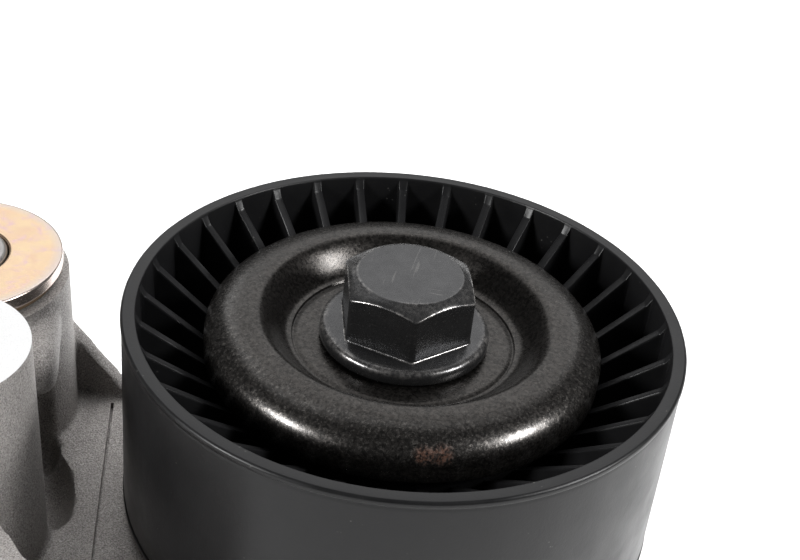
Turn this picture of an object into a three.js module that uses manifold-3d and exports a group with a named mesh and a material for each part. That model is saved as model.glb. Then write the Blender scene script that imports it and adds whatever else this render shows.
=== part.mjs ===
// Automatic belt tensioner with a smooth idler pulley.
//
// Frame: millimetres, +Z up. The origin is on the arm's pivot axis, in the plane of the base's
// mounting face. +Z runs along the pivot axis to the front, and +X points from the pivot axis to
// the pulley axis when the arm rests on its free stop.

import * as THREE from "three";
import { mergeVertices } from "three/addons/utils/BufferGeometryUtils.js";
import Module from "manifold-3d";

// ---------------------------------------------------------------- driving dimensions
const GAP = 0.3; // between solids of one body that touch in the real object
const FIT = 0.1; // radial gap of coaxial fits

const PULLEY = { x: 62.5, radius: 36.5, front: 70.5, width: 29, wall: 1.9, ribs: 33, ribThick: 1.3 };
const RIB = { drop: 1, slope: Math.tan(THREE.MathUtils.degToRad(38)), phase: 102.6 };
const WEB = { middle: 55.5, thick: 3.6 };
const HUB = { outer: 23.4, front: 64.8, back: 51.6 };

const BEARING = { bore: 8.5, outer: 20, width: 12, front: 64.8, pitch: 14.25, ball: 3.375, balls: 8 };
const RACE = { inner: 11.9, outer: 16.9, clear: 0.25 };
const CAGE = { inner: 13.6, outer: 14.9, height: 8.8, pocket: 3.65 };
const SEAL = { inner: 12.2, thick: 0.6, inset: 0.2 };

const COVER = {
  outer: 26, sheet: 1.2, floor: 66.3, crest: 70.2, shoulder: 3.8, dome: 6, well: 14.7, slope: 3.6, hem: 63.8,
};
const BOLT = {
  flange: 11.1, flangeTop: 68.3, seat: 68.9, across: 16, side: 75, top: 76.3, chamfer: 6.9, shank: 5,
  turn: -43,
};
const SHIELD = { outer: 19.2, step: 12.2, back: 0.9, front: 0.3 };

const FLOOR = 39; // front face of the arm's plate
const PLATE = 8; // thickness of the arm's plate
const PIVOT = {
  top: 14.6, base: 15.2, height: 62.3, bore: 11, disc: 21, discEnd: 207, skirt: 25.5, hub: 14.6, tail: 12,
};
const COLUMN = { x: 10.1, y: -26.2, top: 11.4, base: 12.1, height: 70.5, hole: 3.4, holeDepth: 25 };
const HEXAGON = {
  x: 18.9, y: -45.6, across: 19, height: 54, turn: 49.9, foot: 14, footStart: -44, footEnd: -153,
};
const BRIDGE = { low: 53.8, high: 60.5, half: 13.4, round: 2.5, reach: 19.6 };
const HOLLOW = { x: 17.2, y: -13.2, width: 3.9, length: 9, depth: 5, turn: 30 };
const SLOT = { x: 13.8, y: -6.4, radius: 2.6, reach: 9.5, middle: 43.5 };
const WAIST = 12; // the plate's back edge between the pivot and the pulley boss
const GUSSET = { low: 8, high: 10.6, rise: 48.4, root: 13.3, start: 6, foot: 21.6 };
const PULLEY_BOSS = { plate: 16, neck: 12.5, front: 51.3, back: 26 };
const STEP = { reach: 20.2, angle: 17.2, depth: 0.4, width: 90, length: 140 };

const SHAFT = { radius: 8, nose: 6.4, shoulder: 63.2, end: 66, foot: 4.3 };
const WASHER = { outer: 13.9, top: 65.5, thick: 2 };
const BUSH = { inner: 8.1, outer: 10.9, flange: 13.3, flangeThick: 0.6, upperFoot: 46, lowerTop: 29 };
const SLEEVE = { inner: 14.7, outer: 16.2 };
const THRUST = { outer: 13.4 };
const SEAT = { inner: 14, thick: 1.6 };

const CUP = { outer: 26.5, inner: 23.5, height: 27.6, floor: 4, boss: 12.5, bossHeight: 10 };
const EAR = { reach: 38, radius: 9, height: 11, hole: 4.25, angles: [-12, 108, 228] };
const STOP = {
  root: 14, inner: 27.3, outer: 32.5, arm: 170, half: 6, travel: 35, play: 0.8, post: 10, low: 21,
};
const SPRING = { mean: 19.6, wire: 2.4, turns: 3.5, low: 8.7, pitch: 5, steps: 20, sides: 4 };

// ---------------------------------------------------------------- materials
const material = (color, roughness, metalness) =>
  new THREE.MeshStandardMaterial({ color, roughness, metalness });
const NYLON = material(0x151516, 0.45, 0);
const PRESSED_STEEL = material(0x2b2622, 0.42, 0.7);
const BOLT_STEEL = material(0x26262a, 0.38, 0.85);
const CAST_ALUMINIUM = material(0x8f8f90, 0.55, 0.8);
const PLATED_STEEL = material(0xd9b98c, 0.35, 0.85);
const PLAIN_STEEL = material(0x8d9098, 0.35, 0.9);
const BEARING_STEEL = material(0xb9bbc0, 0.2, 0.95);
const SPRING_STEEL = material(0x2f3033, 0.5, 0.6);
const RUBBER = material(0x1c1c1c, 0.7, 0);
const BUSH_POLYMER = material(0x4a3524, 0.6, 0);
const CAGE_POLYMER = material(0xcdbf9c, 0.6, 0);

// ---------------------------------------------------------------- solids
const wasm = await Module();
wasm.setup();

const radians = THREE.MathUtils.degToRad;

function solid(geometry) {
  const bare = geometry.index ? geometry.toNonIndexed() : geometry.clone();
  bare.deleteAttribute("normal");
  bare.deleteAttribute("uv");
  const merged = mergeVertices(bare, 1e-4);
  const mesh = new wasm.Mesh({
    numProp: 3,
    vertProperties: merged.attributes.position.array,
    triVerts: new Uint32Array(merged.index.array),
  });
  return new wasm.Manifold(mesh);
}

// A ring or disc turned about Z: points are [radius, z], listed anticlockwise.
function turned(points, segments, x = 0, y = 0) {
  const closed = points[0][0] > 0 || points.at(-1)[0] > 0 ? [...points, points[0]] : points;
  const profile = closed.map(([r, z]) => new THREE.Vector2(r, z));
  const geometry = new THREE.LatheGeometry(profile, segments);
  return solid(geometry.rotateX(Math.PI / 2).translate(x, y, 0));
}

function cylinder(bottomRadius, topRadius, low, high, x = 0, y = 0, segments = 36) {
  const profile = [[0, low], [bottomRadius, low], [topRadius, high], [0, high]];
  return turned(profile, segments, x, y);
}

function ring(inner, outer, low, high, segments = 32, x = 0) {
  return turned([[inner, low], [outer, low], [outer, high], [inner, high]], segments, x);
}

function prism(shape, low, high) {
  const geometry = new THREE.ExtrudeGeometry(shape, {
    depth: high - low,
    bevelEnabled: false,
    curveSegments: 8,
  });
  return solid(geometry.translate(0, 0, low));
}

function block(width, length, low, high, x, y, turn = 0) {
  const geometry = new THREE.BoxGeometry(width, length, high - low);
  return solid(geometry.rotateZ(turn).translate(x, y, (low + high) / 2));
}

function hexagon(across, low, high, x, y, turn) {
  const geometry = new THREE.CylinderGeometry(across / Math.sqrt(3), across / Math.sqrt(3), high - low, 6);
  return solid(geometry.rotateX(Math.PI / 2).rotateZ(turn).translate(x, y, (low + high) / 2));
}

function outline(points) {
  return new THREE.Shape(points.map(([x, y]) => new THREE.Vector2(x, y)));
}

// A sector of a ring about Z, between two angles in degrees.
function sector(inner, outer, from, to, low, high) {
  const shape = new THREE.Shape();
  shape.absarc(0, 0, outer, radians(from), radians(to), false);
  shape.absarc(0, 0, inner, radians(to), radians(from), true);
  return prism(shape, low, high);
}

const union = (parts) => parts.reduce((whole, part) => whole.add(part));
const cut = (body, tools) => tools.reduce((left, tool) => left.subtract(tool), body);
const polar = (radius, angle) => [radius * Math.cos(radians(angle)), radius * Math.sin(radians(angle))];

// ---------------------------------------------------------------- assembly
const tensioner = new THREE.Group();
const pulleyAssembly = new THREE.Group();
pulleyAssembly.position.x = PULLEY.x;
tensioner.add(pulleyAssembly);

function addMesh(group, name, body, look) {
  const made = body.getMesh();
  const geometry = new THREE.BufferGeometry();
  geometry.setAttribute("position", new THREE.BufferAttribute(made.vertProperties, 3));
  geometry.setIndex(new THREE.BufferAttribute(made.triVerts, 1));
  const mesh = new THREE.Mesh(geometry.toNonIndexed(), look);
  mesh.geometry.computeVertexNormals();
  mesh.name = name;
  group.add(mesh);
}

const onPivot = (name, body, look) => addMesh(tensioner, name, body, look);
const onPulley = (name, body, look) => addMesh(pulleyAssembly, name, body, look);

// ---------------------------------------------------------------- pulley
// One side's ribs run from the rim to the hub, and their free edge slopes down towards the hub.
function rib(index, side) {
  const rimInside = PULLEY.radius - PULLEY.wall;
  const middle = PULLEY.front - PULLEY.width / 2;
  const edge = (r) => middle + side * (PULLEY.width / 2 - RIB.drop - (rimInside - r) * RIB.slope);
  const inner = HUB.outer - 0.8;
  const outer = rimInside + 0.8;
  const face = outline([
    [inner, WEB.middle],
    [outer, WEB.middle],
    [outer, edge(rimInside)],
    [rimInside, edge(rimInside)],
    [inner, edge(inner)],
  ]);
  const geometry = new THREE.ExtrudeGeometry(face, { depth: PULLEY.ribThick, bevelEnabled: false });
  geometry.translate(0, 0, -PULLEY.ribThick / 2).rotateX(Math.PI / 2);
  const turn = radians(RIB.phase + (360 / PULLEY.ribs) * index);
  return solid(geometry.rotateZ(turn));
}

function pulleyWheel() {
  const { radius, front, width, wall } = PULLEY;
  const back = front - width;
  const inside = radius - wall;
  const root = inside - 0.7; // the rim thickens towards the web by its moulding draft
  const webFront = WEB.middle + WEB.thick / 2;
  const webBack = WEB.middle - WEB.thick / 2;
  const bore = BEARING.outer + FIT;
  const body = turned([
    [bore, HUB.back], [HUB.outer, HUB.back], [HUB.outer, webBack], [root, webBack],
    [inside, back], [radius - 0.4, back], [radius, back + 0.4], [radius, front - 0.4],
    [radius - 0.4, front], [inside, front], [root, webFront], [HUB.outer, webFront],
    [HUB.outer, HUB.front], [bore, HUB.front],
  ], 2 * PULLEY.ribs);
  const ribs = [];
  for (let i = 0; i < PULLEY.ribs; i++) {
    ribs.push(rib(i, 1), rib(i, -1));
  }
  return union([body, ...ribs]);
}
onPulley("pulley_wheel", pulleyWheel(), NYLON);

// ---------------------------------------------------------------- ball bearing
const bearingBack = BEARING.front - BEARING.width;
const bearingMiddle = BEARING.front - BEARING.width / 2;

// Half of a race's groove: [radius, z] points on a circle round the ball's centre.
function groove(side) {
  const reach = BEARING.ball + RACE.clear;
  const shoulder = side > 0 ? RACE.outer : RACE.inner;
  const spread = Math.acos(Math.abs(shoulder - BEARING.pitch) / reach);
  const steps = 4;
  return Array.from({ length: steps + 1 }, (_, i) => {
    const angle = spread * (1 - (2 * i) / steps);
    return [BEARING.pitch + side * reach * Math.cos(angle), bearingMiddle + reach * Math.sin(angle)];
  });
}

function outerRing() {
  return turned([
    [RACE.outer, bearingBack], [BEARING.outer, bearingBack], [BEARING.outer, BEARING.front],
    [RACE.outer, BEARING.front], ...groove(1),
  ], 36);
}

function innerRing() {
  return turned([
    [BEARING.bore, bearingBack], [RACE.inner, bearingBack], ...groove(-1).reverse(),
    [RACE.inner, BEARING.front], [BEARING.bore, BEARING.front],
  ], 32);
}

function cage() {
  const body = ring(CAGE.inner, CAGE.outer, bearingMiddle - CAGE.height / 2, bearingMiddle + CAGE.height / 2);
  const pockets = [];
  for (let i = 0; i < BEARING.balls; i++) {
    const pocket = new THREE.CylinderGeometry(CAGE.pocket, CAGE.pocket, 4, 12);
    pocket.rotateZ(Math.PI / 2).translate(BEARING.pitch, 0, bearingMiddle);
    pockets.push(solid(pocket.rotateZ((2 * Math.PI * i) / BEARING.balls)));
  }
  return cut(body, pockets);
}

const seal = (low) => ring(SEAL.inner, RACE.outer - FIT, low, low + SEAL.thick);

onPulley("bearing_outer_ring", outerRing(), BEARING_STEEL);
onPulley("bearing_seal_front", seal(BEARING.front - SEAL.inset - SEAL.thick), RUBBER);
onPulley("bearing_seal_rear", seal(bearingBack + SEAL.inset), RUBBER);
onPulley("bearing_inner_ring", innerRing(), BEARING_STEEL);
onPulley("bearing_cage", cage(), CAGE_POLYMER);
for (let i = 0; i < BEARING.balls; i++) {
  const [x, y] = polar(BEARING.pitch, (360 / BEARING.balls) * i);
  const ball = new THREE.IcosahedronGeometry(BEARING.ball, 1).translate(x, y, bearingMiddle);
  onPulley(`bearing_ball_${i + 1}`, solid(ball), BEARING_STEEL);
}

// ---------------------------------------------------------------- pulley fastening
const boltHole = BOLT.shank + GAP;

function bearingBush() {
  return ring(boltHole, BEARING.bore - FIT, bearingBack, BEARING.front);
}

function rearShield() {
  const high = bearingBack - GAP;
  return turned([
    [boltHole, high - SHIELD.back], [SHIELD.outer, high - SHIELD.back],
    [SHIELD.outer, high - SHIELD.front], [SHIELD.step, high - SHIELD.front],
    [SHIELD.step, high], [boltHole, high],
  ], 32);
}

// Pressed sheet: a flat well for the bolt, a broad domed annulus, and a skirt round its edge.
function dustCover() {
  const { outer, sheet, floor, crest, shoulder, dome, well, slope, hem } = COVER;
  const rise = Array.from({ length: 5 }, (_, i) => {
    const t = i / 4;
    return [well + slope * t, floor + ((crest - floor) * (1 - Math.cos(Math.PI * t))) / 2];
  });
  const corner = (inset) => Array.from({ length: 6 }, (_, i) => {
    const angle = (Math.PI / 2) * (1 - i / 5);
    const wide = (dome - inset) * Math.cos(angle);
    return [outer - dome + wide, crest - shoulder + (shoulder - inset) * Math.sin(angle)];
  });
  const top = [[boltHole, floor], ...rise, ...corner(0), [outer, hem]];
  const under = [
    [outer - sheet, hem], ...corner(sheet).reverse(),
    ...rise.map(([r, z]) => [r + (z - floor > 0.5 ? 0.5 : 0), z - sheet]).reverse(),
    [boltHole, floor - sheet],
  ];
  return turned([...top, ...under].reverse(), 40);
}

function pulleyBolt() {
  const under = COVER.floor + GAP;
  const foot = PULLEY_BOSS.back + 2;
  const stem = turned([
    [0, foot], [BOLT.shank - 1, foot], [BOLT.shank, foot + 1], [BOLT.shank, under],
    [BOLT.flange - 0.2, under], [BOLT.flange, under + 0.3], [BOLT.flange, BOLT.flangeTop],
    [BOLT.flange - 0.4, BOLT.flangeTop + 0.2], [8.6, BOLT.seat], [0, BOLT.seat],
  ], 36);
  const corner = BOLT.across / Math.sqrt(3);
  const crown = turned([
    [0, BOLT.seat - 1], [corner + 0.4, BOLT.seat - 1], [corner + 0.4, BOLT.side - 0.2],
    [BOLT.chamfer, BOLT.top], [0, BOLT.top],
  ], 36);
  const head = hexagon(BOLT.across, BOLT.seat - 0.5, BOLT.top, 0, 0, radians(BOLT.turn));
  return stem.add(head.intersect(crown));
}

onPulley("bearing_bush", bearingBush(), PLAIN_STEEL);
onPulley("rear_shield", rearShield(), PRESSED_STEEL);
onPulley("dust_cover", dustCover(), PRESSED_STEEL);
onPulley("pulley_bolt", pulleyBolt(), BOLT_STEEL);

// ---------------------------------------------------------------- arm
const plateBack = FLOOR - PLATE;

// The plate's edge runs round the pulley boss, the hexagon and the pivot, with a waist at the back.
function armOutline() {
  const shape = new THREE.Shape();
  const boss = PULLEY_BOSS.plate;
  const waist = Math.asin(WAIST / boss);
  shape.absarc(PULLEY.x, 0, boss, Math.PI - waist, radians(HEXAGON.footStart), true);
  shape.absarc(
    HEXAGON.x, HEXAGON.y, HEXAGON.foot, radians(HEXAGON.footStart), radians(HEXAGON.footEnd), true,
  );
  shape.absarc(0, 0, PIVOT.disc, radians(PIVOT.discEnd), Math.asin(WAIST / PIVOT.disc), true);
  return shape;
}

// The plate. Its face is a little lower beyond a straight step on the pulley's side.
function armPlate() {
  const { reach, angle, depth, width, length } = STEP;
  const [x, y] = polar(reach + width / 2, angle);
  const beyond = block(width, length, FLOOR - depth, FLOOR + 1, x, y, radians(angle));
  return prism(armOutline(), plateBack, FLOOR).subtract(beyond);
}

function ellipsoid(width, length, height, x, y, z, turn = 0) {
  const ball = new THREE.SphereGeometry(1, 20, 12).rotateX(Math.PI / 2).scale(width, length, height);
  return solid(ball.rotateZ(turn).translate(x, y, z));
}

function gusset() {
  const { rise, root, start, foot } = GUSSET;
  const slope = (rise - FLOOR) / (foot - root);
  const face = outline([
    [start, FLOOR - 1], [foot + 1 / slope, FLOOR - 1], [start, FLOOR + slope * (foot - start)],
  ]);
  const geometry = new THREE.ExtrudeGeometry(face, { depth: GUSSET.high - GUSSET.low, bevelEnabled: false });
  return solid(geometry.rotateX(Math.PI / 2).translate(0, GUSSET.high, 0));
}

function bridge() {
  const angle = Math.atan2(COLUMN.y, COLUMN.x);
  const { low, high, half, round, reach } = BRIDGE;
  const face = outline([
    [-half, low + round], [round - half, low], [half - round, low], [half, low + round],
    [half, high - round], [half - round, high], [round - half, high], [-half, high - round],
  ]);
  const geometry = new THREE.ExtrudeGeometry(face, { depth: reach, bevelEnabled: false });
  return solid(geometry.rotateX(Math.PI / 2).rotateZ(angle + Math.PI / 2));
}

function stopLug() {
  const { arm, half, outer, low } = STOP;
  const top = sector(STOP.root, outer, arm - half, arm + half, plateBack, FLOOR - 2);
  return top.add(sector(STOP.inner, outer, arm - half, arm + half, low, FLOOR - 2));
}

function tensionerArm() {
  const hubBack = PIVOT.tail;
  const skirt = turned([
    [0, plateBack - 1.5], [PIVOT.skirt, plateBack - 1.5], [PIVOT.skirt, plateBack + 1.5],
    [PIVOT.disc - 1, FLOOR - 1], [0, FLOOR - 1],
  ], 36);
  const body = union([
    armPlate(),
    skirt,
    cylinder(PIVOT.hub, PIVOT.hub, hubBack, plateBack),
    turned([
      [0, FLOOR - 1], [PIVOT.base, FLOOR - 1], [PIVOT.top, PIVOT.height - 1.4],
      [PIVOT.top - 1.2, PIVOT.height], [0, PIVOT.height],
    ], 48),
    cylinder(COLUMN.base, COLUMN.top, FLOOR - 1, COLUMN.height, COLUMN.x, COLUMN.y),
    hexagon(HEXAGON.across, FLOOR - 1, HEXAGON.height, HEXAGON.x, HEXAGON.y, radians(HEXAGON.turn)),
    bridge(),
    gusset(),
    stopLug(),
    cylinder(PULLEY_BOSS.neck + 1, PULLEY_BOSS.neck, FLOOR - 1, PULLEY_BOSS.front, PULLEY.x),
    cylinder(PULLEY_BOSS.neck, PULLEY_BOSS.neck + 1, PULLEY_BOSS.back, plateBack + 1, PULLEY.x),
  ]);
  const { width, length, depth, turn } = HOLLOW;
  const hollow = ellipsoid(width, length, depth, HOLLOW.x, HOLLOW.y, FLOOR + 0.5, radians(turn));
  const slot = ellipsoid(SLOT.radius, SLOT.radius, SLOT.reach, SLOT.x, SLOT.y, SLOT.middle);
  const holeFoot = COLUMN.height - COLUMN.holeDepth;
  const screwHole = cylinder(COLUMN.hole, COLUMN.hole, holeFoot, COLUMN.height + 1, COLUMN.x, COLUMN.y, 20);
  return cut(body, [
    hollow,
    slot,
    cylinder(PIVOT.bore, PIVOT.bore, hubBack - 1, PIVOT.height + 1),
    screwHole,
    cylinder(boltHole, boltHole, PULLEY_BOSS.back - 1, PULLEY_BOSS.front + 1, PULLEY.x, 0, 48),
  ]);
}
onPivot("tensioner_arm", tensionerArm(), CAST_ALUMINIUM);

// ---------------------------------------------------------------- pivot bearings of the arm
const washerBack = WASHER.top - WASHER.thick;
const flangeTop = washerBack - GAP;
const flangeBack = flangeTop - BUSH.flangeThick;

function upperBush() {
  return turned([
    [BUSH.inner, BUSH.upperFoot], [BUSH.outer, BUSH.upperFoot], [BUSH.outer, flangeBack],
    [BUSH.flange, flangeBack], [BUSH.flange, flangeTop], [BUSH.inner, flangeTop],
  ], 36);
}
onPivot("pivot_bush_upper", upperBush(), BUSH_POLYMER);
onPivot("pivot_bush_lower", ring(BUSH.inner, BUSH.outer, PIVOT.tail + 0.4, BUSH.lowerTop), BUSH_POLYMER);
onPivot("damper_sleeve", ring(SLEEVE.inner, SLEEVE.outer, PIVOT.tail + 0.6, plateBack - 2), BUSH_POLYMER);

// ---------------------------------------------------------------- base
function mountingEar(angle) {
  const [x, y] = polar(EAR.reach, angle);
  const turn = radians(angle);
  const body = cylinder(EAR.radius, EAR.radius, 0, EAR.height, x, y, 32);
  const [mx, my] = polar(EAR.reach - 8, angle);
  return body.add(block(16, 2 * EAR.radius, 0, EAR.height, mx, my, turn));
}

function stopPost(from) {
  return sector(CUP.outer - 1, STOP.outer, from, from + STOP.post, 0, CUP.height);
}

function tensionerBase() {
  const posts = [
    stopPost(STOP.arm - STOP.half - STOP.play - STOP.post),
    stopPost(STOP.arm + STOP.half + STOP.play + STOP.travel),
  ];
  const body = union([
    cylinder(CUP.outer + 0.4, CUP.outer, 0, CUP.height),
    ...EAR.angles.map(mountingEar),
    ...posts,
  ]);
  const hollow = turned([
    [CUP.boss + 0.6, CUP.floor], [CUP.inner, CUP.floor], [CUP.inner, CUP.height + 1],
    [0, CUP.height + 1], [0, CUP.bossHeight], [CUP.boss, CUP.bossHeight],
  ], 36);
  const holes = EAR.angles.map((angle) => {
    const [x, y] = polar(EAR.reach, angle);
    return cylinder(EAR.hole, EAR.hole, -1, EAR.height + 1, x, y, 32);
  });
  const shaftHole = cylinder(SHAFT.radius + FIT, SHAFT.radius + FIT, SHAFT.foot - GAP, CUP.bossHeight + 1);
  return cut(body, [hollow, shaftHole, ...holes]);
}

function pivotShaft() {
  const { radius, nose, shoulder, end, foot } = SHAFT;
  return turned([
    [0, foot], [radius - 0.6, foot], [radius, foot + 0.6], [radius, shoulder], [nose, shoulder],
    [nose, end - 0.3], [nose - 0.3, end], [0, end],
  ], 36);
}

class Coil extends THREE.Curve {
  getPoint(t, target = new THREE.Vector3()) {
    const angle = 2 * Math.PI * SPRING.turns * t;
    const rise = SPRING.low + SPRING.pitch * SPRING.turns * t;
    return target.set(SPRING.mean * Math.cos(angle), SPRING.mean * Math.sin(angle), rise);
  }
}

function torsionSpring() {
  const section = new THREE.Shape().absarc(0, 0, SPRING.wire, 0, 2 * Math.PI, false);
  const geometry = new THREE.ExtrudeGeometry(section, {
    steps: Math.round(SPRING.steps * SPRING.turns),
    curveSegments: SPRING.sides,
    extrudePath: new Coil(),
  });
  return solid(geometry);
}

onPivot("tensioner_base", tensionerBase(), CAST_ALUMINIUM);
onPivot("pivot_shaft", pivotShaft(), PLAIN_STEEL);
onPivot("pivot_washer", ring(SHAFT.nose + 0.3, WASHER.outer, washerBack, WASHER.top), PLATED_STEEL);
const thrustWasher = ring(BUSH.inner + GAP, THRUST.outer, CUP.bossHeight + GAP, PIVOT.tail - GAP);
const seatBack = CUP.floor + GAP;
const springSeat = ring(SEAT.inner, CUP.inner - 0.6, seatBack, seatBack + SEAT.thick);
const dampingRing = ring(CUP.inner + 0.2, CUP.outer - 0.4, CUP.height + GAP, plateBack - 1.8);
onPivot("thrust_washer", thrustWasher, PLAIN_STEEL);
onPivot("spring_seat", springSeat, BUSH_POLYMER);
onPivot("damping_ring", dampingRing, BUSH_POLYMER);
onPivot("torsion_spring", torsionSpring(), SPRING_STEEL);

export default tensioner;
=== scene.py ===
"""Belt tensioner with idler pulley: the visible pieces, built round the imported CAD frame.

Everything is in the CAD's own frame: +Z along the arm's pivot axis, +X towards the pulley.
Lengths below are in millimetres until a mesh is made, and MM turns them into metres.
"""

import math

import bmesh
import bpy
import numpy as np
from mathutils import Matrix, Vector


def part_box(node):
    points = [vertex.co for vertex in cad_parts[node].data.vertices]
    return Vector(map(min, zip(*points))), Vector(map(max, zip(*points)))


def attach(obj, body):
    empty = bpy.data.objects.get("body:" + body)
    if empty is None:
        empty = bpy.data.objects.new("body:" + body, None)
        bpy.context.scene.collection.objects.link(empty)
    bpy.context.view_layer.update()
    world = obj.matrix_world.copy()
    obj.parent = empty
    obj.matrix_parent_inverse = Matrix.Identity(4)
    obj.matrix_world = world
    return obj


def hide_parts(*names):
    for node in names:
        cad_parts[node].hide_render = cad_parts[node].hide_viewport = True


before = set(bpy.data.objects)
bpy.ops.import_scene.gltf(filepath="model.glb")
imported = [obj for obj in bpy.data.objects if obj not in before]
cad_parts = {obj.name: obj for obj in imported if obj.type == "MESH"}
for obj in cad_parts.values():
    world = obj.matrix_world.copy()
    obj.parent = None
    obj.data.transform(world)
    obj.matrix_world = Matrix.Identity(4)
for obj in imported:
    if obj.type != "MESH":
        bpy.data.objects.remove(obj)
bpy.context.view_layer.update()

MM = 0.001


# ---------------------------------------------------------------- measures taken from the frame
def box_mm(node):
    """Lowest and highest corner of a CAD node, in millimetres."""
    low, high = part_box(node)
    return low / MM, high / MM


def turned_size(node):
    """Outer radius, back z and front z of a round CAD node, in millimetres."""
    low, high = box_mm(node)
    return max(high.x - low.x, high.y - low.y) / 2, low.z, high.z


PULLEY_RADIUS, PULLEY_BACK, PULLEY_FRONT = turned_size("pulley_wheel")
PULLEY_X = sum(corner.x for corner in box_mm("pulley_wheel")) / 2
PULLEY_AXIS = (PULLEY_X, 0.0)
PIVOT_AXIS = (0.0, 0.0)
# A rounded corner gets a support point this much further out than its own end.
SUPPORT = 1.2


# ---------------------------------------------------------------- mesh helpers
def rounded(points, radius, steps=3, closed=True):
    """The (r, z) outline with its corners rounded, and a support point each side of a corner."""
    points = [Vector(p) for p in points]
    count = len(points)
    out = []
    for i, corner in enumerate(points):
        if not closed and i in (0, count - 1):
            out.append(tuple(corner))
            continue
        before = points[i - 1] - corner
        after = points[(i + 1) % count] - corner
        reach = min(radius, 0.4 * before.length, 0.4 * after.length)
        start = corner + before.normalized() * reach
        end = corner + after.normalized() * reach
        out.append(tuple(corner + before.normalized() * reach * SUPPORT))
        for k in range(steps + 1):
            t = k / steps
            out.append(tuple(start * (1 - t) ** 2 + corner * 2 * t * (1 - t) + end * t * t))
        out.append(tuple(corner + after.normalized() * reach * SUPPORT))
    return out


def offset_line(points, distance):
    """An open (r, z) line moved sideways by distance, to the right of its direction."""
    line = np.array(points, float)
    along = np.gradient(line, axis=0)
    along /= np.linalg.norm(along, axis=1)[:, None]
    return [tuple(p) for p in line + distance * np.stack([along[:, 1], -along[:, 0]], -1)]


def grid_mesh(name, rows, closed_rows=True, cap_start=False, cap_end=False):
    """A mesh from rows of points, each row a loop, with neighbouring rows joined by quads."""
    rows = np.array(rows, float) * MM
    count, columns = rows.shape[:2]
    vertices = [tuple(p) for p in rows.reshape(-1, 3)]
    faces = []
    for i in range(count if closed_rows else count - 1):
        a, b = i * columns, ((i + 1) % count) * columns
        for j in range(columns):
            k = (j + 1) % columns
            faces.append((a + j, a + k, b + k, b + j))
    for wanted, row in ((cap_start, 0), (cap_end, count - 1)):
        if wanted:
            vertices.append(tuple(rows[row].mean(0)))
            middle = len(vertices) - 1
            base = row * columns
            faces += [(base + j, base + (j + 1) % columns, middle) for j in range(columns)]
    mesh = bpy.data.meshes.new(name)
    mesh.from_pydata(vertices, [], faces)
    return mesh


def finish_mesh(name, mesh, sharp=38):
    """Outward faces, smooth shading with sharp edges kept, and an object in the scene."""
    work = bmesh.new()
    work.from_mesh(mesh)
    bmesh.ops.remove_doubles(work, verts=work.verts, dist=1e-7)
    bmesh.ops.recalc_face_normals(work, faces=work.faces)
    work.to_mesh(mesh)
    work.free()
    mesh.polygons.foreach_set("use_smooth", [True] * len(mesh.polygons))
    mesh.set_sharp_from_angle(angle=math.radians(sharp))
    piece = bpy.data.objects.new(name, mesh)
    bpy.context.scene.collection.objects.link(piece)
    return piece


def turned_rows(profile, columns, axis):
    """Rows of a solid of revolution about a vertical axis, from an (r, z) profile."""
    angles = np.linspace(0, 2 * math.pi, columns, endpoint=False)
    circle = np.stack([np.cos(angles), np.sin(angles)], -1)
    rows = []
    for r, z in profile:
        row = np.empty((columns, 3))
        row[:, :2] = circle * max(r, 1e-4) + np.array(axis)
        row[:, 2] = z
        rows.append(row)
    return rows


def turned(name, profile, axis=PIVOT_AXIS, columns=144, closed=True):
    mesh = grid_mesh(name, turned_rows(profile, columns, axis), closed_rows=closed)
    return finish_mesh(name, mesh)


def paint(piece, values, name="wear"):
    """One number per vertex, which materials read as an attribute."""
    attribute = piece.data.attributes.new(name, "FLOAT", "POINT")
    attribute.data.foreach_set("value", np.asarray(values, np.float32))


def coordinates(piece):
    """The piece's vertices, in millimetres."""
    co = np.empty(len(piece.data.vertices) * 3)
    piece.data.vertices.foreach_get("co", co)
    return co.reshape(-1, 3) / MM


def place(piece, body, slot, looks, *nodes):
    """Rides on a body, stands for CAD nodes, and takes one or more materials."""
    for look in looks if isinstance(looks, (list, tuple)) else [looks]:
        piece.data.materials.append(look)
    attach(piece, body)
    if nodes:
        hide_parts(*nodes)
    return piece


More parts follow.
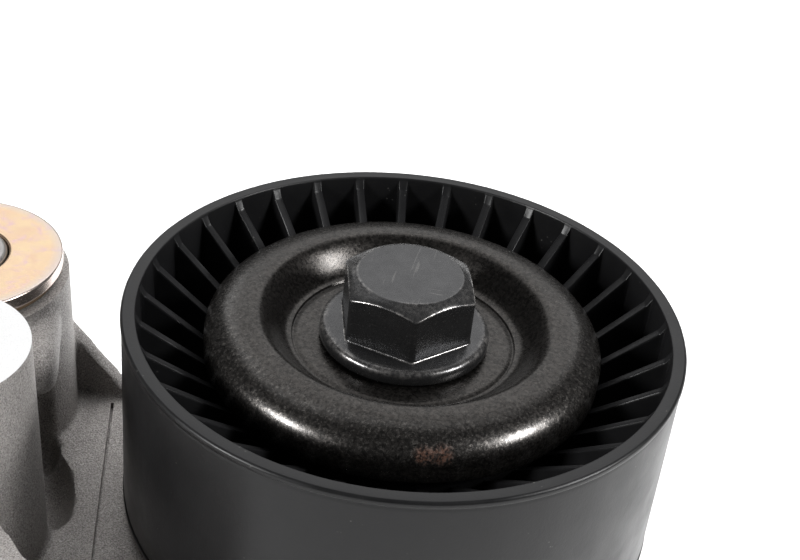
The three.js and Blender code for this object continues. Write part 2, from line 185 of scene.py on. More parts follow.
# ---------------------------------------------------------------- materials
class Look:
    """A material built from a Principled shader and a few procedural textures."""

    def __init__(self, name, color, roughness, metallic, **sockets):
        self.material = bpy.data.materials.new(name)
        self.material.use_nodes = True
        self.tree = self.material.node_tree
        self.shader = self.tree.nodes["Principled BSDF"]
        self.shader.inputs["Base Color"].default_value = (*color, 1)
        self.shader.inputs["Roughness"].default_value = roughness
        self.shader.inputs["Metallic"].default_value = metallic
        for socket, value in sockets.items():
            self.shader.inputs[socket.replace("_", " ")].default_value = value
        self.place = self.node("ShaderNodeTexCoord").outputs["Object"]

    def node(self, kind, **values):
        made = self.tree.nodes.new(kind)
        for key, value in values.items():
            setattr(made, key, value)
        return made

    def join(self, source, target):
        self.tree.links.new(source, target)

    def put(self, socket, value):
        """Sets a socket to a number or colour, or links it to another node's output."""
        if isinstance(value, bpy.types.NodeSocket):
            self.join(value, socket)
        else:
            socket.default_value = value

    def stretched(self, x, y, z):
        mapping = self.node("ShaderNodeMapping")
        self.join(self.place, mapping.inputs["Vector"])
        mapping.inputs["Scale"].default_value = (x, y, z)
        return mapping.outputs["Vector"]

    def noise(self, size, detail=3.0, rough=0.5, vector=None, distortion=0.0):
        """Noise whose features measure about size millimetres, from 0 to 1."""
        made = self.node("ShaderNodeTexNoise")
        self.join(vector or self.place, made.inputs["Vector"])
        made.inputs["Scale"].default_value = 1 / (size * MM)
        made.inputs["Detail"].default_value = detail
        made.inputs["Roughness"].default_value = rough
        made.inputs["Distortion"].default_value = distortion
        return made.outputs["Fac"]

    def cells(self, size):
        """Distance to the nearest of many points that lie about size millimetres apart."""
        made = self.node("ShaderNodeTexVoronoi")
        self.join(self.place, made.inputs["Vector"])
        made.inputs["Scale"].default_value = 1 / (size * MM)
        return made.outputs["Distance"]

    def span(self, value, low, high, to_low=0.0, to_high=1.0):
        """Maps low..high of a value to to_low..to_high, and holds it there beyond."""
        made = self.node("ShaderNodeMapRange")
        self.put(made.inputs["Value"], value)
        limits = {"From Min": low, "From Max": high, "To Min": to_low, "To Max": to_high}
        for socket, number in limits.items():
            made.inputs[socket].default_value = number
        return made.outputs["Result"]

    def math(self, operation, a, b=0.0):
        made = self.node("ShaderNodeMath", operation=operation)
        self.put(made.inputs[0], a)
        self.put(made.inputs[1], b)
        return made.outputs["Value"]

    def mix(self, factor, a, b):
        """Colour a where factor is 0, and b where it is 1."""
        made = self.node("ShaderNodeMix", data_type="RGBA")
        self.put(made.inputs["Factor"], factor)
        self.put(made.inputs[6], a if isinstance(a, bpy.types.NodeSocket) else (*a, 1))
        self.put(made.inputs[7], b if isinstance(b, bpy.types.NodeSocket) else (*b, 1))
        return made.outputs[2]

    def attribute(self, name):
        return self.node("ShaderNodeAttribute", attribute_name=name).outputs["Fac"]

    def near(self, point, radius):
        """1 at a point given in millimetres, falling to 0 at radius from it."""
        made = self.node("ShaderNodeVectorMath", operation="DISTANCE")
        self.join(self.place, made.inputs[0])
        made.inputs[1].default_value = [c * MM for c in point]
        return self.span(made.outputs["Value"], 0, radius * MM, 1, 0)

    def radius_from(self, axis):
        """Distance from a vertical axis, in metres."""
        flat = self.node("ShaderNodeVectorMath", operation="MULTIPLY")
        self.join(self.place, flat.inputs[0])
        flat.inputs[1].default_value = (1, 1, 0)
        made = self.node("ShaderNodeVectorMath", operation="DISTANCE")
        self.join(flat.outputs["Vector"], made.inputs[0])
        made.inputs[1].default_value = (axis[0] * MM, axis[1] * MM, 0)
        return made.outputs["Value"]

    def bump(self, *heights):
        """Each height is (value, depth in millimetres), and they add up."""
        normal = None
        for value, depth in heights:
            made = self.node("ShaderNodeBump")
            made.inputs["Distance"].default_value = depth * MM
            self.join(value, made.inputs["Height"])
            if normal:
                self.join(normal, made.inputs["Normal"])
            normal = made.outputs["Normal"]
        self.join(normal, self.shader.inputs["Normal"])

    def color(self, value):
        self.join(value, self.shader.inputs["Base Color"])

    def roughness(self, value):
        self.join(value, self.shader.inputs["Roughness"])

    def metallic(self, value):
        self.join(value, self.shader.inputs["Metallic"])


def black_nylon():
    look = Look("black_nylon", (0.008, 0.008, 0.0085), 0.42, 0.0, Specular_IOR_Level=0.34)
    cloud = look.noise(6, 4, 0.6)
    grain = look.noise(0.35, 2, 0.6)
    dust = look.span(look.cells(0.9), 0.0, 0.16, 1, 0)
    rare = look.span(look.noise(5, 2), 0.6, 0.68)
    specks = look.math("MULTIPLY", dust, rare)
    base = look.mix(cloud, (0.006, 0.006, 0.0065), (0.011, 0.011, 0.0115))
    look.color(look.mix(look.math("MULTIPLY", specks, 0.5), base, (0.3, 0.29, 0.27)))
    look.roughness(look.span(cloud, 0.3, 0.7, 0.29, 0.4))
    look.bump((grain, 0.012), (look.noise(3, 2), 0.02))
    return look.material


def pressed_steel():
    look = Look("pressed_steel", (0.03, 0.027, 0.025), 0.32, 0.9, Coat_Roughness=0.24)
    blotch = look.noise(7, 5, 0.6)
    grain = look.noise(0.5, 4, 0.7)
    wear = look.attribute("wear")
    base = look.mix(blotch, (0.016, 0.0145, 0.0135), (0.034, 0.032, 0.0305))
    base = look.mix(look.span(grain, 0.4, 0.7), base, (0.075, 0.069, 0.064))
    speck = look.span(look.noise(0.35, 3, 0.8), 0.62, 0.74, 0, 0.5)
    base = look.mix(speck, base, (0.26, 0.24, 0.22))
    scuff = look.span(look.noise(0.4, 5, 0.8, distortion=0.4), 0.52, 0.72)
    rim = look.math("MULTIPLY", wear, scuff)
    base = look.mix(rim, base, (0.34, 0.32, 0.3))
    rust_left = look.near((PULLEY_X + 7.4, -24.3, PULLEY_FRONT - 2.7), 1.7)
    rust_right = look.near((PULLEY_X + 9.6, -23.5, PULLEY_FRONT - 2.7), 1.9)
    near_rust = look.math("ADD", rust_left, rust_right)
    rust = look.math("MULTIPLY", near_rust, look.span(look.noise(0.4, 4, 0.7), 0.36, 0.6))
    rust = look.span(rust, 0.1, 0.6, 0, 0.7)
    look.color(look.mix(rust, base, (0.11, 0.038, 0.016)))
    look.metallic(look.span(rust, 0, 1, 0.9, 0.1))
    oil_film = look.span(look.noise(0.7, 4, 0.75), 0.38, 0.56, 0.35, 1)
    oil = look.math("MULTIPLY", oil_film, look.span(wear, 0.1, 0.7, 0.25, 1))
    look.join(oil, look.shader.inputs["Coat Weight"])
    look.roughness(look.math("ADD", look.span(grain, 0.3, 0.7, 0.22, 0.34), look.span(rust, 0, 1, 0, 0.3)))
    look.bump((grain, 0.02), (look.noise(0.12, 2), 0.006), (look.noise(9, 2), 0.05))
    return look.material


def bolt_steel():
    look = Look("bolt_steel", (0.05, 0.05, 0.052), 0.36, 0.85)
    blotch = look.noise(3, 5, 0.65)
    grain = look.noise(0.3, 3, 0.7)
    base = look.mix(blotch, (0.05, 0.05, 0.052), (0.11, 0.11, 0.112))
    scratch_a = look.span(look.noise(0.5, 2, vector=look.stretched(1, 0.06, 1)), 0.66, 0.7)
    scratch_b = look.span(look.noise(0.45, 2, vector=look.stretched(0.08, 1, 1)), 0.68, 0.72)
    scratches = look.math("MULTIPLY", look.math("ADD", scratch_a, scratch_b), 0.2)
    base = look.mix(scratches, base, (0.3, 0.29, 0.28))
    fine = look.span(look.noise(0.5, 4), 0.35, 0.6)
    patches = look.math("MULTIPLY", fine, look.span(look.noise(2.6, 2), 0.38, 0.6, 0.15, 1))
    worn = look.math("MULTIPLY", look.attribute("wear"), patches)
    look.color(look.mix(worn, base, (0.72, 0.69, 0.66)))
    look.roughness(look.span(grain, 0.3, 0.7, 0.2, 0.33))
    look.bump((grain, 0.012), (look.noise(1.2, 3), 0.02))
    return look.material


def cast_aluminium():
    look = Look("cast_aluminium", (0.34, 0.33, 0.325), 0.55, 0.5)
    grain = look.noise(0.21, 2, 0.7)
    pebble = look.cells(0.28)
    stain = look.noise(8, 4, 0.6)
    base = look.mix(stain, (0.45, 0.422, 0.405), (0.6, 0.568, 0.548))
    base = look.mix(look.span(grain, 0.35, 0.65), look.mix(0.72, base, (0.09, 0.085, 0.08)), base)
    # painted highlight: scattered near-white specks in the colour stand in for the sparkle of light off the
    # cast grain
    painted_glint = look.span(look.noise(0.22, 1), 0.64, 0.74)
    look.color(look.mix(look.math("MULTIPLY", painted_glint, 0.6), base, (0.8, 0.8, 0.8)))
    look.roughness(look.span(grain, 0.3, 0.7, 0.62, 0.42))
    look.bump((grain, 0.1), (pebble, 0.05), (look.noise(4, 3), 0.1))
    return look.material


def machined_aluminium():
    look = Look("machined_aluminium", (0.83, 0.83, 0.84), 0.28, 1.0)
    grain = look.noise(0.2, 2, 0.6)
    look.color(look.mix(grain, (0.9, 0.9, 0.905), (0.97, 0.97, 0.97)))
    look.roughness(look.span(grain, 0.3, 0.7, 0.22, 0.36))
    look.bump((grain, 0.004))
    return look.material


def plated_steel():
    look = Look("plated_steel", (0.85, 0.66, 0.48), 0.22, 0.95)
    tint = look.noise(5, 3, 0.6, distortion=0.8)
    hue = look.noise(2.2, 3, 0.6, distortion=0.5)
    base = look.mix(look.span(tint, 0.35, 0.65), (0.84, 0.6, 0.42), (0.88, 0.68, 0.44))
    base = look.mix(look.span(hue, 0.5, 0.7), base, (0.82, 0.58, 0.52))
    edge = look.span(look.radius_from(PIVOT_AXIS), 0.0122, 0.0137)
    look.color(look.mix(look.math("MULTIPLY", edge, 0.7), base, (0.7, 0.64, 0.64)))
    grain = look.noise(0.3, 3, 0.7)
    look.roughness(look.span(grain, 0.3, 0.7, 0.16, 0.28))
    look.bump((grain, 0.015), (look.noise(2.5, 2), 0.02))
    return look.material


def plain_steel():
    look = Look("plain_steel", (0.5, 0.49, 0.48), 0.38, 0.95)
    grain = look.noise(0.35, 4, 0.7)
    look.color(look.mix(look.noise(3, 4), (0.42, 0.41, 0.4), (0.58, 0.565, 0.55)))
    look.roughness(look.span(grain, 0.3, 0.7, 0.3, 0.5))
    look.bump((grain, 0.015))
    return look.material


def ground_steel():
    look = Look("ground_steel", (0.6, 0.61, 0.63), 0.16, 1.0)
    fine = look.noise(0.25, 3, 0.6, vector=look.stretched(1, 1, 6))
    look.roughness(look.span(fine, 0.3, 0.7, 0.1, 0.24))
    look.color(look.mix(look.noise(4, 3), (0.55, 0.56, 0.58), (0.66, 0.67, 0.69)))
    look.bump((fine, 0.003))
    return look.material


def spring_wire():
    look = Look("spring_wire", (0.03, 0.03, 0.032), 0.5, 0.5)
    grain = look.noise(0.4, 4, 0.7)
    look.color(look.mix(grain, (0.02, 0.02, 0.022), (0.07, 0.068, 0.065)))
    look.roughness(look.span(grain, 0.3, 0.7, 0.4, 0.62))
    look.bump((grain, 0.02))
    return look.material


def brown_polymer():
    look = Look("brown_polymer", (0.1, 0.065, 0.035), 0.55, 0.0)
    fleck = look.noise(0.6, 4, 0.7)
    look.color(look.mix(fleck, (0.06, 0.038, 0.02), (0.15, 0.1, 0.055)))
    look.roughness(look.span(fleck, 0.3, 0.7, 0.45, 0.62))
    look.bump((fleck, 0.01))
    return look.material


def seal_rubber():
    look = Look("seal_rubber", (0.02, 0.02, 0.02), 0.65, 0.0)
    grain = look.noise(0.3, 3, 0.6)
    look.color(look.mix(grain, (0.012, 0.012, 0.012), (0.032, 0.031, 0.03)))
    look.roughness(look.span(grain, 0.3, 0.7, 0.55, 0.75))
    look.bump((grain, 0.01))
    return look.material


def natural_nylon():
    look = Look("natural_nylon", (0.6, 0.52, 0.34), 0.5, 0.0, Subsurface_Weight=0.1)
    grain = look.noise(0.8, 3, 0.6)
    look.color(look.mix(grain, (0.52, 0.44, 0.28), (0.66, 0.58, 0.4)))
    look.roughness(look.span(grain, 0.3, 0.7, 0.42, 0.58))
    look.bump((grain, 0.008))
    return look.material


NYLON = black_nylon()
PRESSED = pressed_steel()
BOLT = bolt_steel()
CAST = cast_aluminium()
MACHINED = machined_aluminium()
PLATED = plated_steel()
PLAIN = plain_steel()
GROUND = ground_steel()
SPRING = spring_wire()
POLYMER = brown_polymer()
RUBBER = seal_rubber()
CAGE = natural_nylon()


# ---------------------------------------------------------------- pulley wheel
RIBS = 33
RIB_PHASE = math.radians(102.6)
RIM_INSIDE = PULLEY_RADIUS - 1.9
RIM_ROOT = RIM_INSIDE - 0.7
HUB_OUTER = 23.4
HUB_BORE = 20.1
HUB_FRONT = 64.8
HUB_BACK = 51.6
WEB_MIDDLE = 55.5
WEB_HALF = 1.8
RIB_DROP = 1.0
RIB_SLOPE = math.tan(math.radians(38))
# Across a rib: distance from its middle, and how far down its side that is (0 edge, 1 floor).
RIB_SECTION = [
    (0, 0.007), (0.3, 0.006), (0.42, 0.002), (0.5, 0), (0.57, 0.01), (0.62, 0.04), (0.7, 0.93), (0.9, 0.985),
    (1.4, 1),
]


def pulley_columns():
    """For each column: the rib it belongs to, its distance from the rib's middle, its drop."""
    right = RIB_SECTION[1:]
    section = [(-s, d) for s, d in reversed(right)] + [RIB_SECTION[0]] + right + [(None, 1)]
    return [(i, s, d) for i in range(RIBS) for s, d in section]


def level(z):
    """The height of a flat row, whatever its column's drop."""
    return lambda drop: z


def pulley_row(columns, radius, height):
    """One loop of points. height(drop) gives z for a column."""
    step = 2 * math.pi / RIBS
    row = []
    for index, side, drop in columns:
        angle = RIB_PHASE + step * index
        angle += step / 2 if side is None else math.asin(side / radius)
        row.append((PULLEY_X + radius * math.cos(angle), radius * math.sin(angle), height(drop)))
    return row


def pulley_side(columns, side):
    """Rows from the hub's bore to the rim's lip on the front (1) or the back (-1)."""
    hub_face = HUB_FRONT if side > 0 else HUB_BACK
    lip = PULLEY_FRONT if side > 0 else PULLEY_BACK
    floor = WEB_MIDDLE + side * WEB_HALF

    def field(radius):
        edge = lip - side * (RIB_DROP + (RIM_INSIDE - radius) * RIB_SLOPE)
        return lambda drop: edge + (floor - edge) * drop

    def between(start, field_height, t):
        return lambda drop: start + (field_height(drop) - start) * t

    rows = []
    for radius, inset in ((HUB_BORE, 0.5), (HUB_BORE + 0.12, 0.12), (HUB_BORE + 0.5, 0),
                          (HUB_OUTER - 0.6, 0), (HUB_OUTER - 0.2, 0.08), (HUB_OUTER - 0.03, 0.3)):
        rows.append(pulley_row(columns, radius, level(hub_face - side * inset)))
    hub_wall = hub_face - side * 0.6
    for t in (0, 0.5, 0.93, 0.985):
        rows.append(pulley_row(columns, HUB_OUTER, between(hub_wall, field(HUB_OUTER), t)))
    for radius in np.linspace(HUB_OUTER + 0.2, RIM_ROOT - 0.2, 9):
        rows.append(pulley_row(columns, radius, field(radius)))
    lip_edge = lip - side * 0.35
    for t in (0.02, 0.08, 0.5, 0.9, 1):
        radius = RIM_ROOT + (RIM_INSIDE - RIM_ROOT) * t
        rows.append(pulley_row(columns, radius, between(lip_edge, field(RIM_ROOT), 1 - t)))
    for radius, inset in ((RIM_INSIDE + 0.03, 0.1), (RIM_INSIDE + 0.12, 0.01), (RIM_INSIDE + 0.25, 0),
                          (PULLEY_RADIUS - 0.4, 0), (PULLEY_RADIUS - 0.27, 0.02),
                          (PULLEY_RADIUS - 0.06, 0.22), (PULLEY_RADIUS, 0.36)):
        rows.append(pulley_row(columns, radius, level(lip - side * inset)))
    return rows


def pulley_wheel():
    columns = pulley_columns()
    front = pulley_side(columns, 1)
    back = pulley_side(columns, -1)
    # The bead near the lip: distance in from the rim's radius, and distance from the lip.
    bead = ((0, 0.75), (0.04, 0.85), (0.16, 0.93), (0.2, 1.05), (0.16, 1.2), (0.12, 1.6))
    wall = [pulley_row(columns, PULLEY_RADIUS - inset, level(PULLEY_FRONT - fall)) for inset, fall in bead]
    middle = (PULLEY_FRONT + PULLEY_BACK) / 2
    wall.append(pulley_row(columns, PULLEY_RADIUS - bead[-1][0], level(middle)))
    wall += [pulley_row(columns, PULLEY_RADIUS - inset, level(PULLEY_BACK + fall))
             for inset, fall in bead[::-1]]
    mesh = grid_mesh("pulley_wheel_moulding", front + wall + back[::-1])
    piece = finish_mesh("pulley_wheel_moulding", mesh, sharp=50)
    return place(piece, "pulley", "black_nylon", NYLON, "pulley_wheel")


pulley_wheel()


# ---------------------------------------------------------------- dust cover
COVER_HOLE = 5.5
COVER_SHEET = 1.1
# The well's floor, the radius where it ends, and the radius where the slope up from it ends.
COVER_FLOOR, COVER_WELL, COVER_RISE_END = 66.3, 14.75, 19.6
# The domed shoulder's width and height.
COVER_DOME, COVER_SHOULDER = 6.0, 3.8


def cover_top():
    """The cover's front surface, from the bolt's hole out to the hem."""
    outer, hem, crest = turned_size("dust_cover")
    floor = COVER_FLOOR
    flat = outer - COVER_DOME
    line = [(COVER_HOLE, floor), (9, floor), (13.5, floor), (14.1, floor - 0.02), (14.35, floor - 0.2),
            (14.55, floor - 0.22), (COVER_WELL, floor)]
    for t in np.linspace(0.06, 1, 18):
        ease = t * t * (3 - 2 * t)
        line.append((COVER_WELL + (COVER_RISE_END - COVER_WELL) * t, floor + (crest - floor) * ease))
    for angle in np.radians(np.linspace(90, 0, 25)):
        line.append((flat + COVER_DOME * math.cos(angle),
                     crest - COVER_SHOULDER + COVER_SHOULDER * math.sin(angle)))
    line += [(outer, hem + 1.2), (outer, hem + 0.35)]
    return line, hem


def dust_cover():
    top, hem = cover_top()
    under = offset_line(top, COVER_SHEET)
    under = [(max(r, COVER_HOLE), z) for r, z in under if z > hem or r < 20]
    edge = [(top[-1][0] - 0.2, hem + 0.04), (top[-1][0] - COVER_SHEET + 0.2, hem + 0.04)]
    profile = top + edge + under[::-1]
    piece = turned("dust_cover_pressing", profile, PULLEY_AXIS, columns=192)
    co = coordinates(piece)
    radius = np.hypot(co[:, 0] - PULLEY_X, co[:, 1])
    height = co[:, 2]
    worn_from, worn_across, worn_above, worn_rise, least = 21.5, 2.5, 66.2, 1.6, 0.12
    outward = np.clip((radius - worn_from) / worn_across, 0, 1)
    upward = np.clip((height - worn_above) / worn_rise, least, 1)
    paint(piece, outward * upward * 0.85 + least)
    return place(piece, "arm", "pressed_steel", PRESSED, "dust_cover")


dust_cover()


# ---------------------------------------------------------------- pulley bolt
def pulley_bolt():
    _, foot, top = turned_size("pulley_bolt")
    across = 16.0
    chamfer = 6.9
    flange = 11.1
    seat = 68.78
    under = 66.6
    shank, pitch, thread_depth, loops_per_turn = 5.0, 1.5, 0.8, 8
    columns = 180
    phase = math.radians(-73)
    angles = np.linspace(0, 2 * math.pi, columns, endpoint=False)

    def hexagon(angle):
        """Radius of the hexagon's side, with its corners rounded a little."""
        sixth = math.pi / 3
        local = (angle - phase) % sixth - sixth / 2
        corner = across / math.sqrt(3)
        return min(across / 2 / math.cos(local), corner - 0.12)

    side = np.array([hexagon(a) for a in angles])
    drop = (side - chamfer) * math.tan(math.radians(30))

    def loop(radius, height):
        radius = np.broadcast_to(radius, angles.shape)
        height = np.broadcast_to(height, angles.shape)
        return np.stack([PULLEY_X + radius * np.cos(angles), radius * np.sin(angles), height], -1)

    # Radius, height and wear of each loop, from the head's top down.
    outline = [(1.5, top - 0.1, 0), (shank, top - 0.1, 0), (5.8, top - 0.05, 0), (chamfer - 0.3, top, 0),
               (chamfer - 0.12, top, 0.15), (chamfer, top - 0.03, 0.22), (chamfer + 0.14, top - 0.12, 0.12)]
    outline += [(chamfer + (side - chamfer) * t, top - drop * t, 0.14) for t in (0.4, 0.8)]
    outline += [(side - 0.18, top - drop + 0.08, 0.15), (side - 0.07, top - drop, 1),
                (side, top - drop - 0.09, 0.9), (side, top - drop - 0.22, 0), (side, seat + 0.3, 0),
                (side + 0.02, seat + 0.14, 0.1), (side + 0.12, seat + 0.03, 0.75), (side + 0.24, seat, 0)]
    outline += [(9.9, 68.68, 0), (10.3, 68.63, 0.1), (10.62, 68.53, 0.3), (10.88, 68.34, 0.4),
                (11.04, 68.06, 0.25), (flange, 67.7, 0.05), (flange, 66.9, 0), (11.0, 66.7, 0),
                (10.8, under, 0), (shank + 0.1, under, 0), (shank, under - 0.5, 0)]
    thread_top = under - 9
    thread_foot = foot + 1
    outline.append((shank, thread_top, 0))
    turns = (thread_top - thread_foot) / pitch
    for z in np.linspace(thread_top, thread_foot, int(turns * loops_per_turn)):
        wave = np.abs(((z / pitch + angles / (2 * math.pi)) % 1) - 0.5) * 2
        fade = min(1, (thread_top - z) / pitch)
        outline.append((shank - 0.03 - thread_depth * fade * (1 - wave), z, 0))
    outline += [(4.1, foot + 0.5, 0), (3.4, foot, 0), (0.5, foot, 0)]
    rows = [loop(radius, height) for radius, height, _ in outline]
    wear = [worn for _, _, worn in outline]
    mesh = grid_mesh("pulley_bolt_forging", rows, closed_rows=False, cap_start=True, cap_end=True)
    attribute = mesh.attributes.new("wear", "FLOAT", "POINT")
    caps = [0, 0]
    attribute.data.foreach_set("value", np.append(np.repeat(wear, columns), caps).astype(np.float32))
    piece = finish_mesh("pulley_bolt_forging", mesh, sharp=42)
    return place(piece, "arm", "bolt_steel", BOLT, "pulley_bolt")


pulley_bolt()


# ---------------------------------------------------------------- castings
def add_outward(work, mesh):
    """Adds a closed mesh to a bmesh with its faces pointing out, and removes the mesh."""
    part = bmesh.new()
    part.from_mesh(mesh)
    bmesh.ops.recalc_face_normals(part, faces=part.faces)
    part.to_mesh(mesh)
    part.free()
    work.from_mesh(mesh)
    bpy.data.meshes.remove(mesh)


def shell(work, profile, axis=PIVOT_AXIS, columns=96):
    """Adds a turned closed shell to a bmesh. Flat faces close the profile's first and last loop."""
    rows = np.array(turned_rows(profile, columns, axis)) * MM
    mesh = bpy.data.meshes.new("shell")
    faces = []
    for base in range(0, (len(rows) - 1) * columns, columns):
        for j in range(columns):
            k = (j + 1) % columns
            faces.append((base + j, base + k, base + columns + k, base + columns + j))
    faces.append(tuple(range(columns)))
    faces.append(tuple(range((len(rows) - 1) * columns, len(rows) * columns)))
    mesh.from_pydata([tuple(p) for p in rows.reshape(-1, 3)], [], faces)
    add_outward(work, mesh)


def drum(work, bottom, top, low, high, axis=PIVOT_AXIS):
    """Adds a cylinder or cone: its radius at each end, and the heights of the ends."""
    shell(work, [(bottom, low), (top, high)], axis)


def slab(work, outline, low, high, matrix=None):
    """Adds a closed prism: an outline of (x, y) points, from low to high, in millimetres."""
    count = len(outline)
    points = [(x * MM, y * MM, z * MM) for z in (low, high) for x, y in outline]
    faces = [tuple(range(count)), tuple(range(count, 2 * count))]
    faces += [(i, (i + 1) % count, count + (i + 1) % count, count + i) for i in range(count)]
    mesh = bpy.data.meshes.new("slab")
    mesh.from_pydata(points, [], faces)
    if matrix:
        mesh.transform(matrix)
    add_outward(work, mesh)


def arc(axis, radius, start, end, steps=24):
    """Points on a circle from one angle to another, in degrees."""
    angles = np.radians(np.linspace(start, end, steps))
    return [(axis[0] + radius * math.cos(a), axis[1] + radius * math.sin(a)) for a in angles]


def new_object(name, work, looks):
    mesh = bpy.data.meshes.new(name)
    work.to_mesh(mesh)
    work.free()
    piece = bpy.data.objects.new(name, mesh)
    bpy.context.scene.collection.objects.link(piece)
    for look in looks:
        mesh.materials.append(look)
    return piece


def bake_modifiers(piece):
    """Replaces the piece's mesh with its evaluated one, and drops its modifiers."""
    graph = bpy.context.evaluated_depsgraph_get()
    mesh = bpy.data.meshes.new_from_object(piece.evaluated_get(graph))
    piece.modifiers.clear()
    piece.data = mesh


def cast_body(name, work, voxel, smoothing, hollows=()):
    """One casting from overlapping shells: fused at voxel size, with every corner filleted."""
    piece = new_object(name, work, [CAST])
    fuse(piece, voxel)
    for hollow in hollows:
        machine(piece, hollow, CAST)
    if hollows:
        fuse(piece, voxel)
    smooth = piece.modifiers.new("fillet", "SMOOTH")
    smooth.factor = 0.5
    smooth.iterations = smoothing
    bake_modifiers(piece)
    return piece


def fuse(piece, voxel):
    remesh = piece.modifiers.new("fuse", "REMESH")
    remesh.mode = "VOXEL"
    remesh.voxel_size = voxel * MM
    remesh.use_smooth_shade = True
    bake_modifiers(piece)


def machine(piece, cutters, look=None):
    """Cuts faces and bores, which take the cutter's material: machined, unless look says another."""
    cutter = new_object("cutter", cutters, [look or MACHINED])
    boolean = piece.modifiers.new("machine", "BOOLEAN")
    boolean.operation = "DIFFERENCE"
    boolean.solver = "EXACT"
    boolean.material_mode = "TRANSFER"
    boolean.object = cutter
    bake_modifiers(piece)
    bpy.data.objects.remove(cutter)
    mesh = piece.data
    mesh.polygons.foreach_set("use_smooth", [True] * len(mesh.polygons))
    mesh.set_sharp_from_angle(angle=math.radians(40))


# The plate's two faces, and the radius of its round end at the pulley, the hexagon and the pivot.
FLOOR, PLATE_BACK = 39.0, 31.0
PULLEY_END, HEXAGON_END, PIVOT_END = 16, 14, 21
PIVOT_TOP, PIVOT_RADIUS, PIVOT_BORE = 62.3, 14.6, 11
COLUMN, COLUMN_TOP = (10.1, -26.2), 70.5
HEXAGON, HEXAGON_ACROSS, HEXAGON_TOP = (18.9, -45.6), 19, 54.0
HEXAGON_TURN = math.radians(49.9)
BOSS_FRONT, BOSS_BACK, BOLT_BORE = 51.3, 26, 5.3
# The bridge's sections: distance from the pivot axis, half its width there, underside and top.
BRIDGE_SECTIONS = [(0, 13.6, 53.4, 60.9), (16.0, 13.6, 53.8, 60.7), (18.0, 13.3, 54.6, 60.1),
                   (19.4, 12.7, 55.5, 59.2), (20.2, 11.8, 56.4, 58.3)]
WAIST = 12.0
GUSSET_LOW, GUSSET_HIGH, GUSSET_RISE, GUSSET_ROOT, GUSSET_FOOT = 8.0, 10.6, 48.4, 13.3, 21.6
GUSSET_START = 6
HOLLOW, HOLLOW_SIZE, HOLLOW_TURN = (17.2, -13.2, 39.5), (3.7, 9.0, 6.6), math.radians(30)
SLOT, SLOT_SIZE = (13.8, -6.4, 43.5), (2.7, 2.7, 9.6)
STOP_ARM, STOP_HALF, STOP_INNER, STOP_OUTER, STOP_LOW = 170.0, 6.0, 27.3, 32.5, 21
GROOVE_REACH, GROOVE_ANGLE, GROOVE_DEPTH, GROOVE_HALF = 20.2, math.radians(17.2), 0.9, 0.22
# How far a shell sinks into its neighbour, how much is left on for machining, and how far past a face
# its cutter goes.
SINK, SPARE, CUT = 2, 3, 8


def arm_outline():
    waist = math.degrees(math.asin(WAIST / PULLEY_END))
    pivot_end = math.degrees(math.asin(WAIST / PIVOT_END))
    return (arc(PULLEY_AXIS, PULLEY_END, 180 - waist, -44, 40)
            + arc(HEXAGON, HEXAGON_END, -44, -153, 24)
            + arc(PIVOT_AXIS, PIVOT_END, 207, pivot_end, 40))


def bridge_shell(work):
    """The rounded bar from the pivot column to the front column, wider at the pivot."""
    angle = math.atan2(COLUMN[1], COLUMN[0])
    along = np.array([math.cos(angle), math.sin(angle)])
    across = np.array([-along[1], along[0]])
    ends = []
    for reach, half, low, high in BRIDGE_SECTIONS:
        corners = [(-half, low), (half, low), (half, high), (-half, high)]
        section = rounded(corners, (high - low) * 0.42, steps=5)
        ends.append([(*(along * reach + across * side), z) for side, z in section])
    mesh = grid_mesh("bridge", ends, closed_rows=False, cap_start=True, cap_end=True)
    add_outward(work, mesh)


def gusset_shell(work):
    """The sloping web that joins the pivot column to the plate."""
    slope = (GUSSET_RISE - FLOOR) / (GUSSET_FOOT - GUSSET_ROOT)
    face = [(GUSSET_START, FLOOR - SINK), (GUSSET_FOOT + SINK / slope, FLOOR - SINK),
            (GUSSET_START, FLOOR + slope * (GUSSET_FOOT - GUSSET_START))]
    standing = Matrix(((1, 0, 0, 0), (0, 0, 1, 0), (0, 1, 0, 0), (0, 0, 0, 1)))
    slab(work, face, GUSSET_LOW, GUSSET_HIGH, standing)


def stop_lug(work):
    """The lug that meets the base's posts: an arm in the plate, and its end hanging down."""
    start, end = STOP_ARM - STOP_HALF, STOP_ARM + STOP_HALF
    tip = arc(PIVOT_AXIS, STOP_OUTER, start, end, 8)
    for inner, low in ((14, PLATE_BACK), (STOP_INNER, STOP_LOW)):
        slab(work, tip + arc(PIVOT_AXIS, inner, end, start, 8), low, FLOOR - SINK)


def arm_casting():
    work = bmesh.new()
    slab(work, arm_outline(), PLATE_BACK, FLOOR)
    shell(work, [(25.2, PLATE_BACK - 1.5), (25.2, PLATE_BACK + 1.5), (19.8, FLOOR - 1)])
    drum(work, PIVOT_RADIUS, PIVOT_RADIUS, 12, PLATE_BACK + 1)
    drum(work, 15.2, PIVOT_RADIUS, FLOOR - SINK, PIVOT_TOP + SPARE)
    drum(work, 12.1, 11.4, FLOOR - SINK, COLUMN_TOP + SPARE, COLUMN)
    corner = HEXAGON_ACROSS / math.sqrt(3)
    hexagon = [(HEXAGON[0] + corner * math.cos(a), HEXAGON[1] + corner * math.sin(a))
               for a in HEXAGON_TURN + math.pi / 6 + np.arange(6) * math.pi / 3]
    slab(work, hexagon, FLOOR - SINK, HEXAGON_TOP)
    bridge_shell(work)
    gusset_shell(work)
    stop_lug(work)
    drum(work, 13.5, 12.5, FLOOR - SINK, BOSS_FRONT + SPARE, PULLEY_AXIS)
    drum(work, 12.5, 13.5, BOSS_BACK - SPARE, PLATE_BACK + 1, PULLEY_AXIS)
    return cast_body("tensioner_arm_casting", work, 0.5, 5, hollow_cutters())


